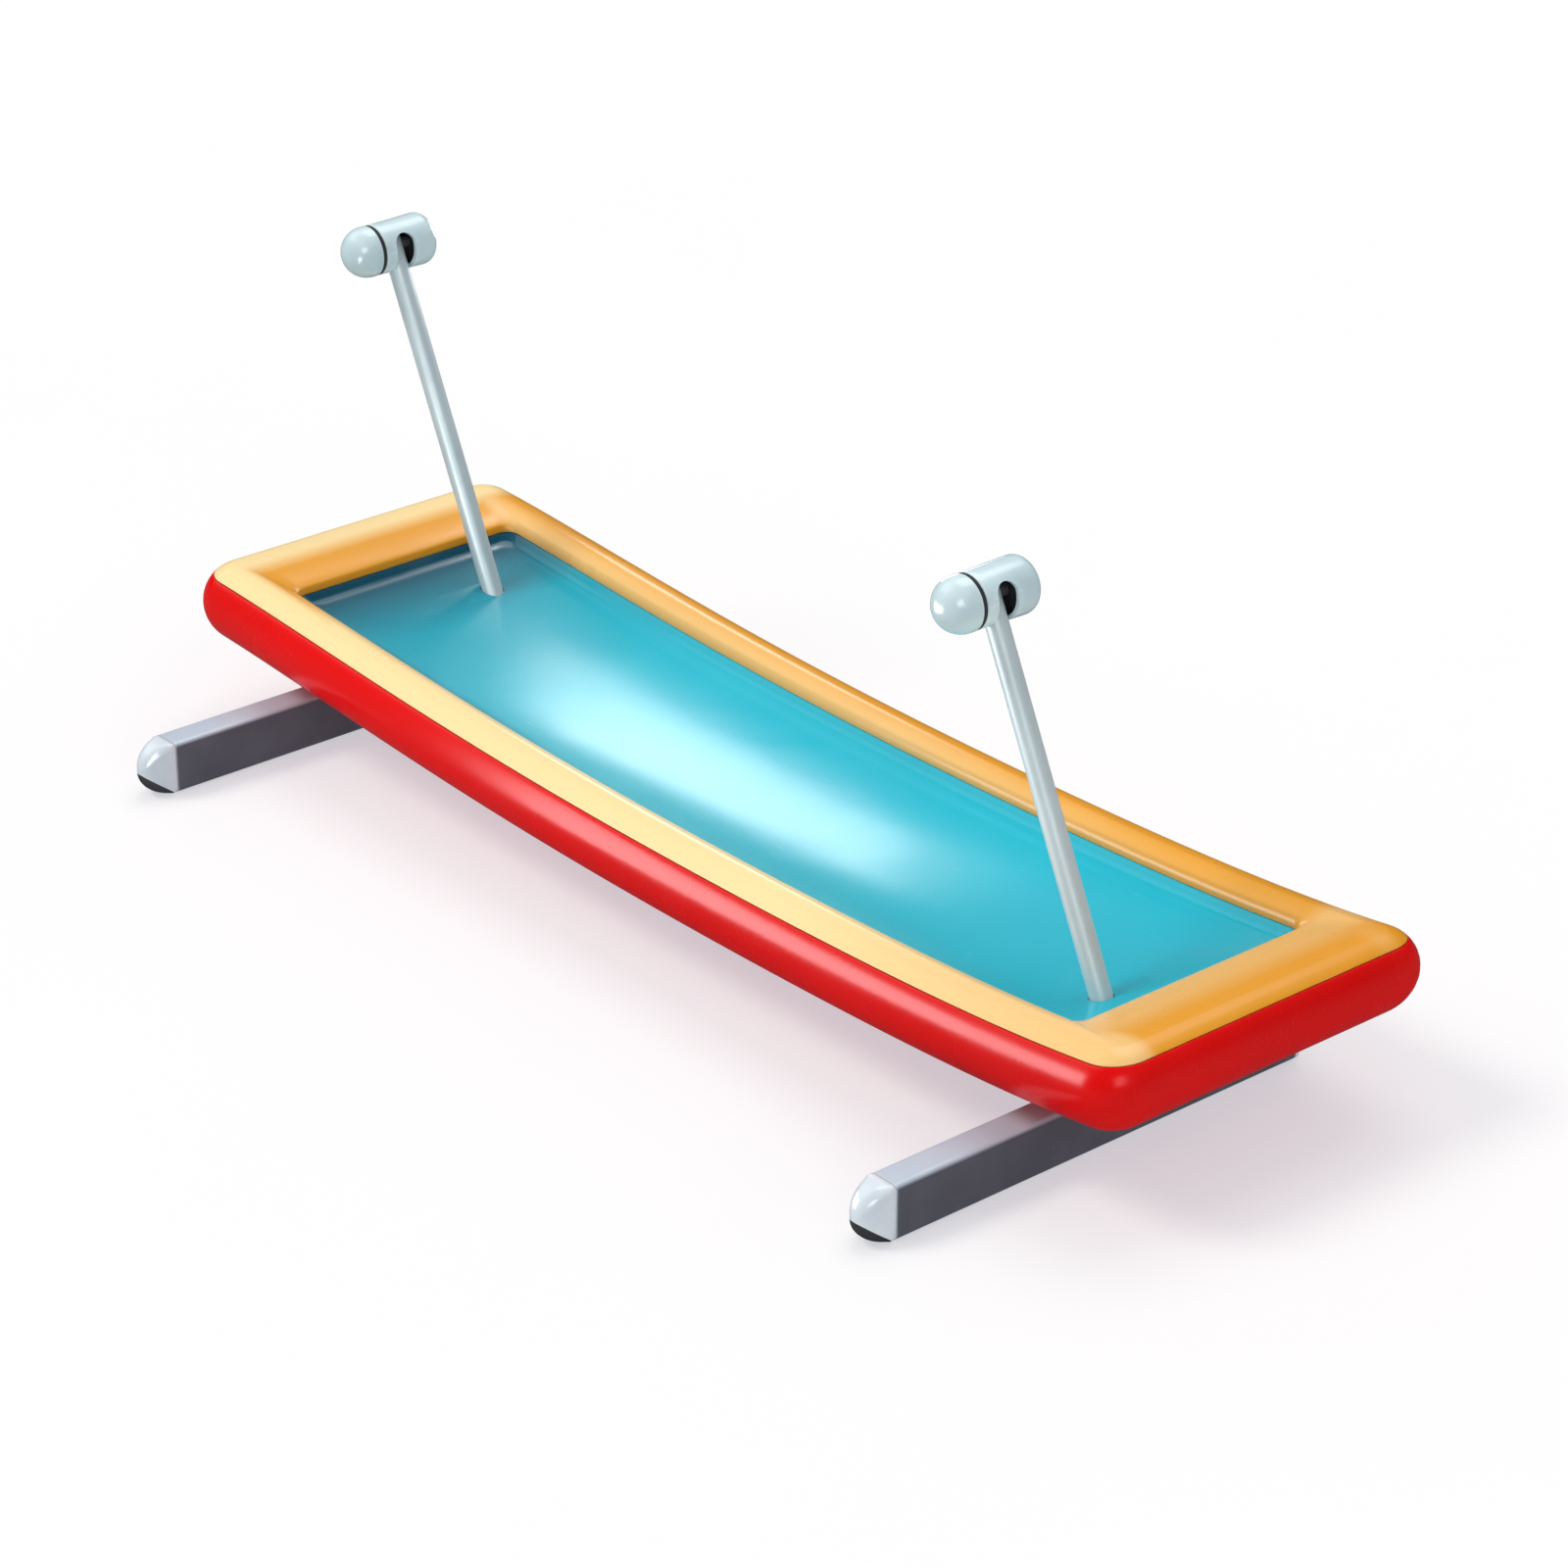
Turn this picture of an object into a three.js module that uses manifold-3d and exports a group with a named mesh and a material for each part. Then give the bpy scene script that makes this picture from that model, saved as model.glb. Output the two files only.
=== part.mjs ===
// A low two-child seesaw: a long boat-shaped deck (red hull, yellow rim, teal
// seat pan) balanced on a rubber torsion pivot over a steel floor frame, with
// one leaning steel rod and one rolling grip in front of each child.
// Millimetres, +Z up, +X along the board, floor at z = 0, and the origin on
// the floor straight under the pivot.
import * as THREE from "three";
import { LoftGeometry } from "three/addons/geometries/LoftGeometry.js";
import { mergeGeometries, mergeVertices } from "three/addons/utils/BufferGeometryUtils.js";
import Module from "manifold-3d";

const wasm = await Module();
wasm.setup();

// ---------- driving dimensions ----------
const BOARD_LENGTH = 1600; // along the seam between the red and the yellow shell
const BOARD_WIDTH = 435; // across that seam
const SEAM_Z = 149.1; // seam height over the floor in the middle of the board
const BEND_2 = 152; // rise of the ends: square, cube and fifth power of x / length
const BEND_3 = -102;
const BEND_5 = 629;
const EDGE_R = 49; // bullnose of the hull's edge
const SEAM_ANGLE = 45; // where the seam lies on the bullnose, degrees over level
const HULL_WALL = 5;
const OPEN_LENGTH = 1367; // seat opening inside the rim
const OPEN_WIDTH = 323.5;
const LONG_STEPS = 18; // facets along the board
const CORNER_STEPS = 4;

const FOOT_X = 643; // centre line of each floor foot
const FOOT_W = 40;
const FOOT_H = 64;
const FOOT_WALL = 3;
const FOOT_EDGE = 7; // rounded edges of the tube
const FOOT_NEAR = -378; // tube ends; the domed caps stand past them
const FOOT_FAR = 184;
const NEAR_CAP = { rim: 6, dome: 34 };
const FAR_CAP = { rim: 4, dome: 12 };
const PAD_T = 2.7; // rubber pad on top of each foot

const RAIL_Y = 55; // two floor rails tie the feet and carry the pivot
const RAIL_W = 40;
const RAIL_H = 25;

const AXLE_Z = 50; // tilt axis
const HOUSING = 40; // square outer tube of the torsion pivot
const HOUSING_WALL = 3;
const HOUSING_HALF = 72;
const BAR = 18; // square inner bar, turned 45 degrees
const CORD_R = 6.0;
const CHEEK_Y = 75.4; // inner face of each pivot cheek
const CHEEK_T = 8;

const LEAN = 25.3; // handle lean towards -X, degrees from vertical
const ROD_R = 12.5;
const ROD_L = 472; // from grip axis down to the rod's foot
const GRIP_Z = 537;
const LEFT_GRIP_X = -781;
const RIGHT_GRIP_X = 440;
const GRIP_Y = 68; // rods stand on opposite sides of the centre line
const GRIP_R = 31;
const GRIP_BORE = 27;
const GRIP_FLARE = 1; // the barrel widens by this much towards its far end
const SLOT_SWEEP = 84; // how far the rod's slot runs round the grip, degrees
const GAP = 0.4;

// ---------- helpers ----------
const rad = THREE.MathUtils.degToRad;
const V3 = (x, y, z) => new THREE.Vector3(x, y, z);

function solid(geometry) {
  let g = new THREE.BufferGeometry();
  g.setAttribute("position", geometry.getAttribute("position"));
  if (geometry.index) g.setIndex(geometry.index);
  g = mergeVertices(g, 1e-4);
  const vertProperties = new Float32Array(g.attributes.position.array);
  const triVerts = new Uint32Array(g.index.array);
  let m = new wasm.Manifold(new wasm.Mesh({ numProp: 3, vertProperties, triVerts }));
  if (m.volume() < 0) {
    for (let i = 0; i < triVerts.length; i += 3)
      [triVerts[i + 1], triVerts[i + 2]] = [triVerts[i + 2], triVerts[i + 1]];
    m = new wasm.Manifold(new wasm.Mesh({ numProp: 3, vertProperties, triVerts }));
  }
  return m;
}

function geometryOf(manifold) {
  const m = manifold.getMesh();
  const n = m.numProp;
  const v = new Float32Array(m.numVert * 3);
  for (let i = 0; i < m.numVert; i++) v.set(m.vertProperties.subarray(i * n, i * n + 3), i * 3);
  const g = new THREE.BufferGeometry();
  g.setAttribute("position", new THREE.BufferAttribute(v, 3));
  g.setIndex(new THREE.BufferAttribute(new Uint32Array(m.triVerts), 1));
  g.computeVertexNormals();
  return g;
}

const cut = (g, ...tools) => geometryOf(tools.reduce((m, t) => m.subtract(solid(t)), solid(g)));
const join = (g, ...more) => geometryOf(more.reduce((m, t) => m.add(solid(t)), solid(g)));
const common = (g, h) => geometryOf(solid(g).intersect(solid(h)));
const closed = (g) => geometryOf(solid(g));

// height of the seam line over the floor at x
function seamZ(x) {
  const u = x / BOARD_LENGTH;
  return SEAM_Z + BEND_2 * u ** 2 + BEND_3 * u ** 3 + BEND_5 * u ** 5;
}

// a flat-sided box whose top and bottom follow the board's bend; z0 and z1 are under the seam
function bentBox(x0, x1, y0, y1, z0, z1, steps) {
  const g = new THREE.BoxGeometry(x1 - x0, y1 - y0, z1 - z0, steps, 1, 1);
  g.translate((x0 + x1) / 2, (y0 + y1) / 2, (z0 + z1) / 2);
  const p = g.attributes.position;
  for (let i = 0; i < p.count; i++) p.setZ(i, p.getZ(i) + seamZ(p.getX(i)));
  return g;
}

function box(x0, x1, y0, y1, z0, z1) {
  const g = new THREE.BoxGeometry(x1 - x0, y1 - y0, z1 - z0);
  return g.translate((x0 + x1) / 2, (y0 + y1) / 2, (z0 + z1) / 2);
}

// one ring of the deck: a rounded rectangle of half sizes a and b, corner r, at height z from the seam
function ring(a, b, r, z) {
  const pts = [];
  const put = (x, y) => pts.push(V3(x, y, z + seamZ(x)));
  const corner = (cx, cy, from) => {
    for (let i = 0; i <= CORNER_STEPS; i++) {
      const t = rad(from + (90 * i) / CORNER_STEPS);
      put(cx + r * Math.cos(t), cy + r * Math.sin(t));
    }
  };
  corner(a - r, b - r, 0);
  for (let i = 1; i < LONG_STEPS; i++) put((a - r) * (1 - (2 * i) / LONG_STEPS), b);
  corner(-(a - r), b - r, 90);
  corner(-(a - r), -(b - r), 180);
  for (let i = 1; i < LONG_STEPS; i++) put(-(a - r) * (1 - (2 * i) / LONG_STEPS), -b);
  corner(a - r, -(b - r), 270);
  return pts;
}

// closes a ring with strips laid straight across it, so that the floor keeps the board's bend
function acrossCap(pts) {
  const half = pts.length / 2;
  const rows = [];
  for (let k = 0; k < half; k++) rows.push([pts[k], pts[pts.length - 1 - k]]);
  return new LoftGeometry(rows, { closed: false });
}

function dish(rings) {
  const pts = rings.map((r) => ring(...r));
  const wall = new LoftGeometry(pts);
  const first = acrossCap(pts[0]);
  const last = acrossCap(pts[pts.length - 1]);
  flip(last);
  const all = [wall, first, last].map((g) => {
    g.deleteAttribute("uv");
    g.deleteAttribute("normal");
    return g.toNonIndexed();
  });
  return mergeGeometries(all);
}

function flip(g) {
  const i = g.index.array;
  for (let k = 0; k < i.length; k += 3) [i[k + 1], i[k + 2]] = [i[k + 2], i[k + 1]];
}

function roundedRect(w, h, r, steps = 3) {
  const s = new THREE.Shape();
  const pts = [];
  const c = [
    [w / 2 - r, h / 2 - r, 0],
    [-(w / 2 - r), h / 2 - r, 90],
    [-(w / 2 - r), -(h / 2 - r), 180],
    [w / 2 - r, -(h / 2 - r), 270],
  ];
  for (const [cx, cy, from] of c)
    for (let i = 0; i <= steps; i++) {
      const t = rad(from + (90 * i) / steps);
      pts.push(new THREE.Vector2(cx + r * Math.cos(t), cy + r * Math.sin(t)));
    }
  s.setFromPoints(pts);
  s.userPoints = pts;
  return s;
}

// a shape in (x, z) pushed along Y, or a shape in (y, z) pushed along X
function alongY(shape, y0, y1) {
  const g = new THREE.ExtrudeGeometry(shape, { depth: y1 - y0, bevelEnabled: false, curveSegments: 10 });
  return g.rotateX(Math.PI / 2).translate(0, y1, 0);
}
function alongX(shape, x0, x1) {
  const g = new THREE.ExtrudeGeometry(shape, { depth: x1 - x0, bevelEnabled: false, curveSegments: 10 });
  return g.rotateX(Math.PI / 2).rotateZ(Math.PI / 2).translate(x0, 0, 0);
}

function rectTube(w, h, wall, r) {
  const s = roundedRect(w, h, r, 2);
  const hole = new THREE.Path();
  hole.setFromPoints(roundedRect(w - 2 * wall, h - 2 * wall, Math.max(r - wall, 0.8), 2).userPoints.slice().reverse());
  s.holes.push(hole);
  return s;
}

// round bar along Y, X or a leaning handle axis
const barY = (r, y0, y1, n = 16) => new THREE.CylinderGeometry(r, r, y1 - y0, n).translate(0, (y0 + y1) / 2, 0);
const barX = (r, x0, x1, n = 16) => new THREE.CylinderGeometry(r, r, x1 - x0, n).rotateZ(-Math.PI / 2).translate((x0 + x1) / 2, 0, 0);
const barZ = (r, z0, z1, n = 16) => new THREE.CylinderGeometry(r, r, z1 - z0, n).rotateX(Math.PI / 2).translate(0, 0, (z0 + z1) / 2);

// hexagon-head bolt: head from z = 0 up to headH, flange under the head, shank down to -length
function hexBolt(acrossFlats, headH, r, length, flangeR) {
  const R = acrossFlats / Math.sqrt(3);
  const body = new THREE.LatheGeometry(
    [
      [0, -length], [r - 0.8, -length], [r, -length + 0.8], [r, 0],
      [flangeR, 0], [flangeR, 1.6], [R * 0.8, 1.7], [0, 1.7],
    ].map(([x, y]) => new THREE.Vector2(x, y)),
    14,
  ).rotateX(Math.PI / 2);
  const head = new THREE.CylinderGeometry(R, R, headH - 1.0, 6).rotateX(Math.PI / 2).translate(0, 0, 1.0 + (headH - 1.0) / 2);
  return join(body, head);
}

function material(color, roughness, metalness) {
  return new THREE.MeshStandardMaterial({ color, roughness, metalness });
}
const RED = () => material(0xde0505, 0.22, 0);
const YELLOW = () => material(0xf0b648, 0.25, 0);
const TEAL = () => material(0x16afc3, 0.18, 0);
const FOOT_STEEL = () => material(0x9aa3b4, 0.35, 0.85);
const DARK_STEEL = () => material(0x4b4f5f, 0.45, 0.7);
const ZINC = () => material(0xb9bfc6, 0.35, 0.9);
const ROD_STEEL = () => material(0xa9b6ba, 0.3, 0.9);
const GRIP_GREY = () => material(0xb7cccf, 0.3, 0.1);
const CAP_GREY = () => material(0xb4c0cb, 0.35, 0.1);
const RUBBER = () => material(0x2b2d30, 0.8, 0);
const NYLON = () => material(0xe8e6dc, 0.5, 0);

function put(group, name, geometry, mat, x = 0, y = 0, z = 0, rx = 0, ry = 0, rz = 0) {
  const mesh = new THREE.Mesh(geometry, mat);
  mesh.name = name;
  mesh.position.set(x, y, z);
  mesh.rotation.set(rx, ry, rz);
  group.add(mesh);
  return mesh;
}

const group = new THREE.Group();
const base = new THREE.Group();
const deck = new THREE.Group();
group.add(base, deck);

// ---------- floor frame ----------
const footTube = alongY(rectTube(FOOT_W, FOOT_H, FOOT_WALL, FOOT_EDGE), FOOT_NEAR, FOOT_FAR);

// domed end cap of a foot: a spigot in the tube and a dome outside it, from y = 0 towards -Y
function capRings(y, w, h, r) {
  return roundedRect(w, h, r, 3).userPoints.map((p) => V3(p.x, y, p.y));
}
function capAndShoe({ rim, dome: depth }) {
  const rows = [capRings(0, FOOT_W, FOOT_H, FOOT_EDGE)];
  for (const t of [0, 20, 38, 54, 68, 80, 87]) {
    const f = 0.02 + 0.98 * Math.cos(rad(t)), k = Math.sin(rad(t));
    const w = FOOT_W * f, h = FOOT_H * f;
    rows.push(capRings(-rim - depth * k, w, h, Math.min(THREE.MathUtils.lerp(FOOT_EDGE, w / 2, k ** 0.6), w / 2 - 0.05)));
  }
  const dome = new LoftGeometry(rows, { capStart: true, capEnd: true });
  const spigot = new LoftGeometry(
    [capRings(16, FOOT_W - 8, FOOT_H - 8, 3), capRings(-2, FOOT_W - 6.8, FOOT_H - 6.8, 3.5)],
    { capStart: true, capEnd: true },
  );
  // the rubber heel takes everything under a plane that climbs towards the tip
  const y0 = -0.6 * rim, z0 = 2 - FOOT_H / 2, slope = (-2 - z0) / (-rim - depth - y0);
  const under = (lift) => {
    const at = (y) => [y, z0 + slope * (y - y0) + lift];
    const s = new THREE.Shape().setFromPoints([[4, -90], at(4), at(-90), [-90, -90]].map(([y, z]) => new THREE.Vector2(y, z)));
    return alongX(s, -60, 60);
  };
  return { cap: join(cut(dome, under(0)), spigot), shoe: common(dome, under(-0.55)) };
}
const nearEnd = capAndShoe(NEAR_CAP);
const farEnd = capAndShoe(FAR_CAP);

const railTube = alongX(rectTube(RAIL_W, RAIL_H, 2.5, 3), -(FOOT_X - FOOT_W / 2 - 6.8), FOOT_X - FOOT_W / 2 - 6.8);
const flangeX = FOOT_X - FOOT_W / 2 - 6.4; // inner face of each rail flange
const FLANGE_BOLT_Z = 42;

for (const [side, s] of [["left", -1], ["right", 1]]) {
  const foot = new THREE.Group();
  foot.position.set(s * FOOT_X, 0, FOOT_H / 2);
  base.add(foot);
  const holes = [-RAIL_Y, RAIL_Y].map((y) =>
    barX(5.4, -30, 0, 12).rotateZ(s < 0 ? Math.PI : 0).translate(0, y, FLANGE_BOLT_Z - FOOT_H / 2));
  put(foot, side + "_foot", cut(footTube, ...holes), FOOT_STEEL());
  put(foot, side + "_foot_cap_near", nearEnd.cap.clone(), CAP_GREY(), 0, FOOT_NEAR - GAP, 0);
  put(foot, side + "_foot_cap_far", farEnd.cap.clone(), CAP_GREY(), 0, FOOT_FAR + GAP, 0, 0, 0, Math.PI);
  put(foot, side + "_foot_shoe_near", nearEnd.shoe.clone(), RUBBER(), 0, FOOT_NEAR - GAP, 0);
  put(foot, side + "_foot_shoe_far", farEnd.shoe.clone(), RUBBER(), 0, FOOT_FAR + GAP, 0, 0, 0, Math.PI);
  // rubber stop on top of the foot, where the hull comes down at full tilt
  const pad = closed(alongY(roundedRect(26, PAD_T, 1.2, 2), -60, 60));
  put(foot, side + "_bump_pad", pad, RUBBER(), 0, 0, FOOT_H / 2 + 0.3 + PAD_T / 2);

  const plate = new THREE.Shape().setFromPoints(
    [[-84, 2], [84, 2], [84, 50], [78, 57], [-78, 57], [-84, 50]].map(([y, z]) => new THREE.Vector2(y, z)));
  const flange = cut(alongX(plate, 0, 6), ...[-RAIL_Y, RAIL_Y].map((y) => barX(5.4, -2, 8, 12).translate(0, y, FLANGE_BOLT_Z)));
  put(base, side + "_rail_flange", flange, DARK_STEEL(), s > 0 ? flangeX : -flangeX - 6, 0, 0);
  for (const [end, y] of [["near", -RAIL_Y], ["far", RAIL_Y]])
    put(base, side + "_flange_bolt_" + end, hexBolt(17, 6.5, 5, 14, 10.5), ZINC(), s * (flangeX - 0.4), y, FLANGE_BOLT_Z, 0, s > 0 ? -Math.PI / 2 : Math.PI / 2, 0);
}

const cheekShape = (() => {
  const s = new THREE.Shape();
  const pts = [[-40, 3], [40, 3], [40, 22], [19, 48]];
  for (let t = 0; t <= 180; t += 20) pts.push([19 * Math.cos(rad(t)), AXLE_Z + 19 * Math.sin(rad(t))]);
  pts.push([-19, 48], [-40, 22]);
  s.setFromPoints(pts.map(([x, z]) => new THREE.Vector2(x, z)));
  // diamond hole that locks the square bar
  const d = (BAR / Math.SQRT2) + 0.45;
  const hole = new THREE.Path();
  hole.setFromPoints([[0, AXLE_Z + d], [-d, AXLE_Z], [0, AXLE_Z - d], [d, AXLE_Z]].map(([x, z]) => new THREE.Vector2(x, z)));
  s.holes.push(hole);
  return s;
})();

const CHEEK_BOLT_X = 27;
const CHEEK_BOLT_Z = 13;
for (const [end, s] of [["near", -1], ["far", 1]]) {
  const cheek = cut(
    alongY(cheekShape, 0, CHEEK_T),
    ...[-CHEEK_BOLT_X, CHEEK_BOLT_X].map((x) => barY(4.4, -2, CHEEK_T + 2, 12).translate(x, 0, CHEEK_BOLT_Z)));
  put(base, "pivot_cheek_" + end, cheek, DARK_STEEL(), 0, s > 0 ? CHEEK_Y : -CHEEK_Y - CHEEK_T, 0);
  const holes = [-CHEEK_BOLT_X, CHEEK_BOLT_X].map((x) => barY(4.4, s > 0 ? 10 : -30, s > 0 ? 30 : -10, 12).translate(x, 0, CHEEK_BOLT_Z - RAIL_H / 2));
  put(base, "base_rail_" + end, cut(railTube, ...holes), DARK_STEEL(), 0, s * RAIL_Y, RAIL_H / 2);
  for (const [side, x] of [["left", -CHEEK_BOLT_X], ["right", CHEEK_BOLT_X]])
    put(base, "cheek_bolt_" + end + "_" + side, hexBolt(13, 5.3, 4, 16, 8.5), ZINC(), x, s * (CHEEK_Y + CHEEK_T + GAP), CHEEK_BOLT_Z, s > 0 ? -Math.PI / 2 : Math.PI / 2, 0, 0);
}
// floor plate that ties the two rails under the pivot; its underside is the datum face
put(base, "pivot_floor_plate", box(-90, 90, -(RAIL_Y - RAIL_W / 2 - GAP), RAIL_Y - RAIL_W / 2 - GAP, 0, 6), DARK_STEEL());

// torsion pivot: the square inner bar belongs to the floor frame
const barHalf = CHEEK_Y + CHEEK_T - 0.3;
const barShape = new THREE.Shape().setFromPoints(
  [[0, 1], [-1, 0], [0, -1], [1, 0]].map(([x, z]) => new THREE.Vector2((x * BAR) / Math.SQRT2, (z * BAR) / Math.SQRT2)));
put(base, "torsion_bar", cut(alongY(barShape, -barHalf, barHalf), barY(4.4, -barHalf - 5, -barHalf + 26, 12), barY(4.4, barHalf - 26, barHalf + 5, 12)), ZINC(), 0, 0, AXLE_Z);
for (const [end, s] of [["near", -1], ["far", 1]])
  put(base, "torsion_bar_bolt_" + end, hexBolt(13, 6.5, 4, 22, 13.5), ZINC(), 0, s * (CHEEK_Y + CHEEK_T + GAP), AXLE_Z, s > 0 ? -Math.PI / 2 : Math.PI / 2, 0, 0);

// ---------- deck shells ----------
const A0 = BOARD_LENGTH / 2 - EDGE_R * Math.cos(rad(SEAM_ANGLE));
const B0 = BOARD_WIDTH / 2 - EDGE_R * Math.cos(rad(SEAM_ANGLE));
const Z0 = -EDGE_R * Math.sin(rad(SEAM_ANGLE));
const edge = (radius, deg) => {
  const c = radius * Math.cos(rad(deg)), s = radius * Math.sin(rad(deg));
  return [A0 + c, B0 + c, 4 + c, Z0 + s];
};
const hullRings = [
  ...[-90, -66, -42, -18, 5, 26, SEAM_ANGLE].map((d) => edge(EDGE_R, d)),
  ...[SEAM_ANGLE, 14, -18, -54, -90].map((d) => edge(EDGE_R - HULL_WALL, d)),
];
const hullBolts = [-58, 58];
const hull = cut(
  dish(hullRings),
  box(-26, 26, -90, 90, 40, 90),
  ...hullBolts.map((x) => barZ(4.5, 50, 90, 12).translate(x, 0, 0)),
);
put(deck, "hull_shell", hull, RED());

const OA = OPEN_LENGTH / 2, OB = OPEN_WIDTH / 2;
const s46 = edge(EDGE_R, SEAM_ANGLE + 1);
const rimRings = [
  s46,
  edge(EDGE_R, 61),
  edge(EDGE_R, 77),
  [752, 184, 14, 14.3],
  [722, 174.5, 16, 11.2],
  [698, 167.2, 18, 6.6],
  [OA + 3.6, OB + 2.2, 18, 2.4],
  [OA + 0.8, OB + 0.5, 18, -2.2],
  [OA, OB, 18, -7],
  [OA + 4.4, OB + 4.4, 20, -7],
  [OA + 6.2, OB + 5.2, 20, -2.6],
  [694, 170.2, 17, 1.0],
  [722, 177.4, 15, 6.5],
  [752, 185.6, 13, 9.7],
  edge(EDGE_R - HULL_WALL, 77),
  edge(EDGE_R - HULL_WALL, 61),
  edge(EDGE_R - HULL_WALL, SEAM_ANGLE + 1),
];
const rimPts = rimRings.map((r) => ring(...r));
rimPts.push(rimPts[0]);
put(deck, "rim_cover", closed(new LoftGeometry(rimPts)), YELLOW());

const panRings = [
  [370, 12, 10, -46],
  [430, 44, 30, -44],
  [512, 84, 34, -36],
  [592, 123, 30, -27.5],
  [677, 155.5, 20, -20],
  [690, 167.5, 22, -11.4],
  [706, 181, 26, -11.4],
  [706, 181, 26, -7.4],
  [OA + 0.4, OB + 0.4, 18, -7.4],
  [673, 151.5, 16, -17],
  [590, 121, 30, -23.5],
  [510, 83, 34, -32],
  [430, 43, 30, -40],
  [370, 11, 9, -42],
];
const handleDir = V3(Math.sin(rad(LEAN)), 0, -Math.cos(rad(LEAN))); // down the rod
const handles = [
  { side: "left", x: LEFT_GRIP_X, y: GRIP_Y },
  { side: "right", x: RIGHT_GRIP_X, y: -GRIP_Y },
];
// a bar along the rod's axis, from t0 to t1 below the grip's axis
const alongRod = (h, r, t0, t1, n = 16) => barZ(r, -t1, -t0, n).rotateY(-rad(LEAN)).translate(h.x, h.y, GRIP_Z);
// the pan is moulded in three lengths: two seats and the foot well between them
const PAN_JOINT = 200;
const panWhole = cut(dish(panRings), ...handles.map((h) => alongRod(h, 13.6, 380, 470, 18)));
for (const [length, x0, x1] of [["left", -900, -PAN_JOINT], ["middle", -PAN_JOINT, PAN_JOINT], ["right", PAN_JOINT, 900]])
  put(deck, "seat_pan_" + length, common(panWhole, box(x0 + 0.15, x1 - 0.15, -300, 300, 0, 400)), TEAL());

// ---------- deck structure, between pan and hull ----------
const SPINE = { y: 30, top: -46.8, bottom: -72.8, wall: 2.5, half: 700, steps: 12 };
function tubeSection(x, inset) {
  const z = seamZ(x);
  const y = SPINE.y - inset, t = SPINE.top - inset, b = SPINE.bottom + inset;
  return [V3(x, -y, z + b), V3(x, y, z + b), V3(x, y, z + t), V3(x, -y, z + t)];
}
const spineRows = [];
for (let i = 0; i <= SPINE.steps; i++) spineRows.push(tubeSection(-SPINE.half + (2 * SPINE.half * i) / SPINE.steps, 0));
for (let i = SPINE.steps; i >= 0; i--) spineRows.push(tubeSection(-SPINE.half + (2 * SPINE.half * i) / SPINE.steps, SPINE.wall));
spineRows.push(spineRows[0]);
put(deck, "deck_spine", closed(new LoftGeometry(spineRows)), DARK_STEEL());

const PLATE_LOW = -78.25, PLATE_HIGH = -73.3;
put(deck, "left_crossmember", closed(bentBox(-628, -540, -168, 168, PLATE_LOW, PLATE_HIGH, 3)), DARK_STEEL());
put(deck, "right_crossmember", closed(bentBox(600, 688, -168, 168, PLATE_LOW, PLATE_HIGH, 3)), DARK_STEEL());
put(deck, "pivot_plate", cut(bentBox(-80, 80, -115, 115, PLATE_LOW, PLATE_HIGH, 4), ...hullBolts.map((x) => barZ(4.5, 50, 90, 12).translate(x, 0, 0))), DARK_STEEL());
for (const [side, x] of [["left", -58], ["right", 58]])
  put(deck, "hull_bolt_" + side, hexBolt(13, 5.3, 4, 10.2, 9), ZINC(), x, 0, seamZ(58) + Z0 - EDGE_R - 0.35, Math.PI, 0, 0);

const housing = alongY(rectTube(HOUSING, HOUSING, HOUSING_WALL, 1.6), -HOUSING_HALF, HOUSING_HALF);
put(deck, "pivot_housing", closed(housing), DARK_STEEL(), 0, 0, AXLE_Z);
const cordAt = HOUSING / 2 - HOUSING_WALL - CORD_R - 0.35;
[[-1, -1], [1, -1], [1, 1], [-1, 1]].forEach(([sx, sz], i) =>
  put(deck, "rubber_cord_" + (i + 1), closed(barY(CORD_R, -HOUSING_HALF + 2, HOUSING_HALF - 2, 12)), RUBBER(), sx * cordAt, 0, AXLE_Z + sz * cordAt));

// ---------- handles ----------
const slot = (() => {
  const wedge = new THREE.Shape();
  const pts = [];
  for (const [r, from, to] of [[18, 0, SLOT_SWEEP], [40, SLOT_SWEEP, 0]])
    for (let k = 0; k <= 7; k++) {
      const t = rad(-90 + from + ((to - from) * k) / 7);
      pts.push(new THREE.Vector2(r * Math.cos(t), r * Math.sin(t)));
    }
  wedge.setFromPoints(pts);
  return [
    alongY(wedge, -13.4, 13.4),
    barZ(13.4, -40, -10, 20),
    barZ(13.4, -40, -10, 20).rotateY(-rad(SLOT_SWEEP)),
  ];
})();
const lathe = (pts, n) => new THREE.LatheGeometry(pts.map(([x, y]) => new THREE.Vector2(x, y)), n);
const CAP_Y = -28; // where the ball cap meets the barrel
const BALL_Y = -38;
const wide = GRIP_R + GRIP_FLARE;
const gripBarrel = cut(lathe([
  [0, 44.5], [16, 43.2], [24, 38.6], [GRIP_BORE, 31], [GRIP_BORE, CAP_Y], [GRIP_R - 1, CAP_Y], [GRIP_R - 0.3, CAP_Y + 0.7],
  [GRIP_R, 0], [wide, 35], [wide - 0.5, 40.6], [wide - 2.6, 45.4], [wide - 6.6, 48.6], [wide - 12, 49.8], [0, 50],
], 28), ...slot);
const capProfile = [];
for (const t of [0, 16, 32, 48, 63, 77, 90]) capProfile.push([t ? GRIP_R * Math.sin(rad(t)) : 0, BALL_Y - GRIP_R * Math.cos(rad(t))]);
capProfile.push([GRIP_R, CAP_Y - 1.2], [GRIP_R - 0.8, CAP_Y - 0.4], [GRIP_BORE - 0.4, CAP_Y - 0.4], [GRIP_BORE - 0.4, -17], [7.4, -17], [7.4, -26], [0, -26]);
const gripCap = closed(lathe(capProfile, 28));
const ringOf = (ri, ro, y0, y1, n) => closed(lathe([[ri, y0], [ro, y0], [ro, y1], [ri, y1], [ri, y0]], n));

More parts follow.
